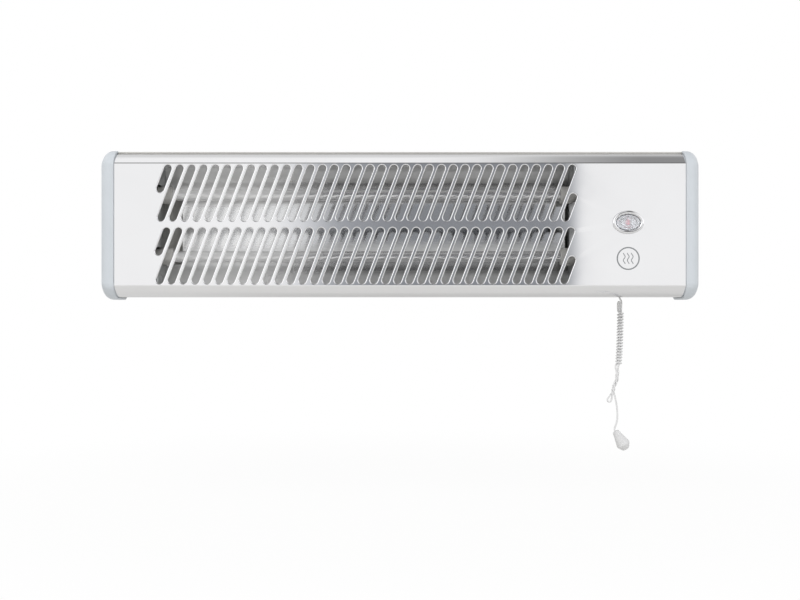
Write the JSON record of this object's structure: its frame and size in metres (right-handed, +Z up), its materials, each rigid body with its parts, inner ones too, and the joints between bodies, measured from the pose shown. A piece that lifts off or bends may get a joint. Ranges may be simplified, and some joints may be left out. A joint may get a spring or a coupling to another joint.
{
  "type": "wall-mounted infrared bathroom heater",
  "caption": "Long wall heater with a polished slotted front, quartz tubes in a reflector, grey end caps, a signal lamp and a pull cord wound into a hank, on a tilting wall bracket.",
  "frame": {"origin": "middle of the two wall screws, on the wall", "axes": "+X along the heater to the right seen from the room, +Y into the wall, +Z up"},
  "size_m": [0.54, 0.1056, 0.2773],
  "materials": {
    "polished_steel": "mirror polished",
    "casing_paint": "satin powder coat",
    "cap_plastic": "satin moulded",
    "plated_steel": "zinc plated",
    "knob_plastic": "fine grain",
    "reflector_sheet": "bright rolled",
    "quartz": "milky quartz",
    "heating_wire": "oxidised",
    "ceramic": "unglazed ceramic",
    "lamp_chrome": "polished",
    "lamp_clear": "clear",
    "neon_glass": "clear",
    "inner_plastic": "moulded",
    "contact_brass": "bright",
    "grommet_rubber": "matt",
    "white_plastic": "moulded",
    "wire_sleeve": "braided glass sleeve",
    "cord_braid": "braided"
  },
  "bodies": {
    "bracket": {"wall_bracket": "plated_steel", "tilt_screws": "knob_plastic", "pivot_nuts": "plated_steel"},
    "heater": {"hinge_lug_right": "plated_steel", "hinge_lug_left": "plated_steel", "front_grille": "polished_steel", "rear_casing": "casing_paint", "end_caps": "cap_plastic", "tube_bracket_left": "plated_steel", "tube_bracket_right": "plated_steel", "reflector": "reflector_sheet", "quartz_tube_upper": "quartz", "quartz_tube_lower": "quartz", "heating_coil_upper": "heating_wire", "heating_coil_lower": "heating_wire", "tube_ceramics": "ceramic", "lamp_bezel": "lamp_chrome", "lamp_lens": "lamp_clear", "neon_lamp": "neon_glass", "lamp_holder": "inner_plastic", "switch_housing": "inner_plastic", "switch_cover": "inner_plastic", "switch_blades": "contact_brass", "return_spring": "plated_steel", "cord_eyelet": "white_plastic", "cable_gland": "grommet_rubber", "terminal_block": "inner_plastic", "inner_wires": "wire_sleeve"},
    "drum": {"switch_drum": "white_plastic"},
    "cord_slider": {"switch_cord": "cord_braid"},
    "hanging_cord": {"pull_cord_lead": "cord_braid", "pull_cord_hank": "cord_braid", "pull_cord_tail": "cord_braid", "cord_pull": "white_plastic"}
  },
  "joints": [
    {"name": "tilt", "type": "hinge", "parent": "bracket", "child": "heater", "pos_m": [0, -0.026, 0], "axis": [1, 0, 0], "range_deg": [0, 30]},
    {"name": "pull", "type": "slide", "parent": "heater", "child": "cord_slider", "axis": [0, 0, -1], "range_m": [0, 0.009], "stiffness_N_per_m": 150, "springref_m": -0.002},
    {"name": "drum_turn", "type": "hinge", "parent": "heater", "child": "drum", "pos_m": [0.199, -0.059, -0.0466], "axis": [0, 1, 0], "range_deg": [0, 90]},
    {"name": "cord_plumb", "type": "hinge", "parent": "cord_slider", "child": "hanging_cord", "pos_m": [0.205, -0.059, -0.0656], "axis": [1, 0, 0], "range_deg": [-31, 0]}
  ],
  "couplings": [
    {"joint": "drum_turn", "follows": "pull", "rad_per_m": 166.67},
    {"joint": "cord_plumb", "follows": "tilt", "ratio": -1}
  ]
}
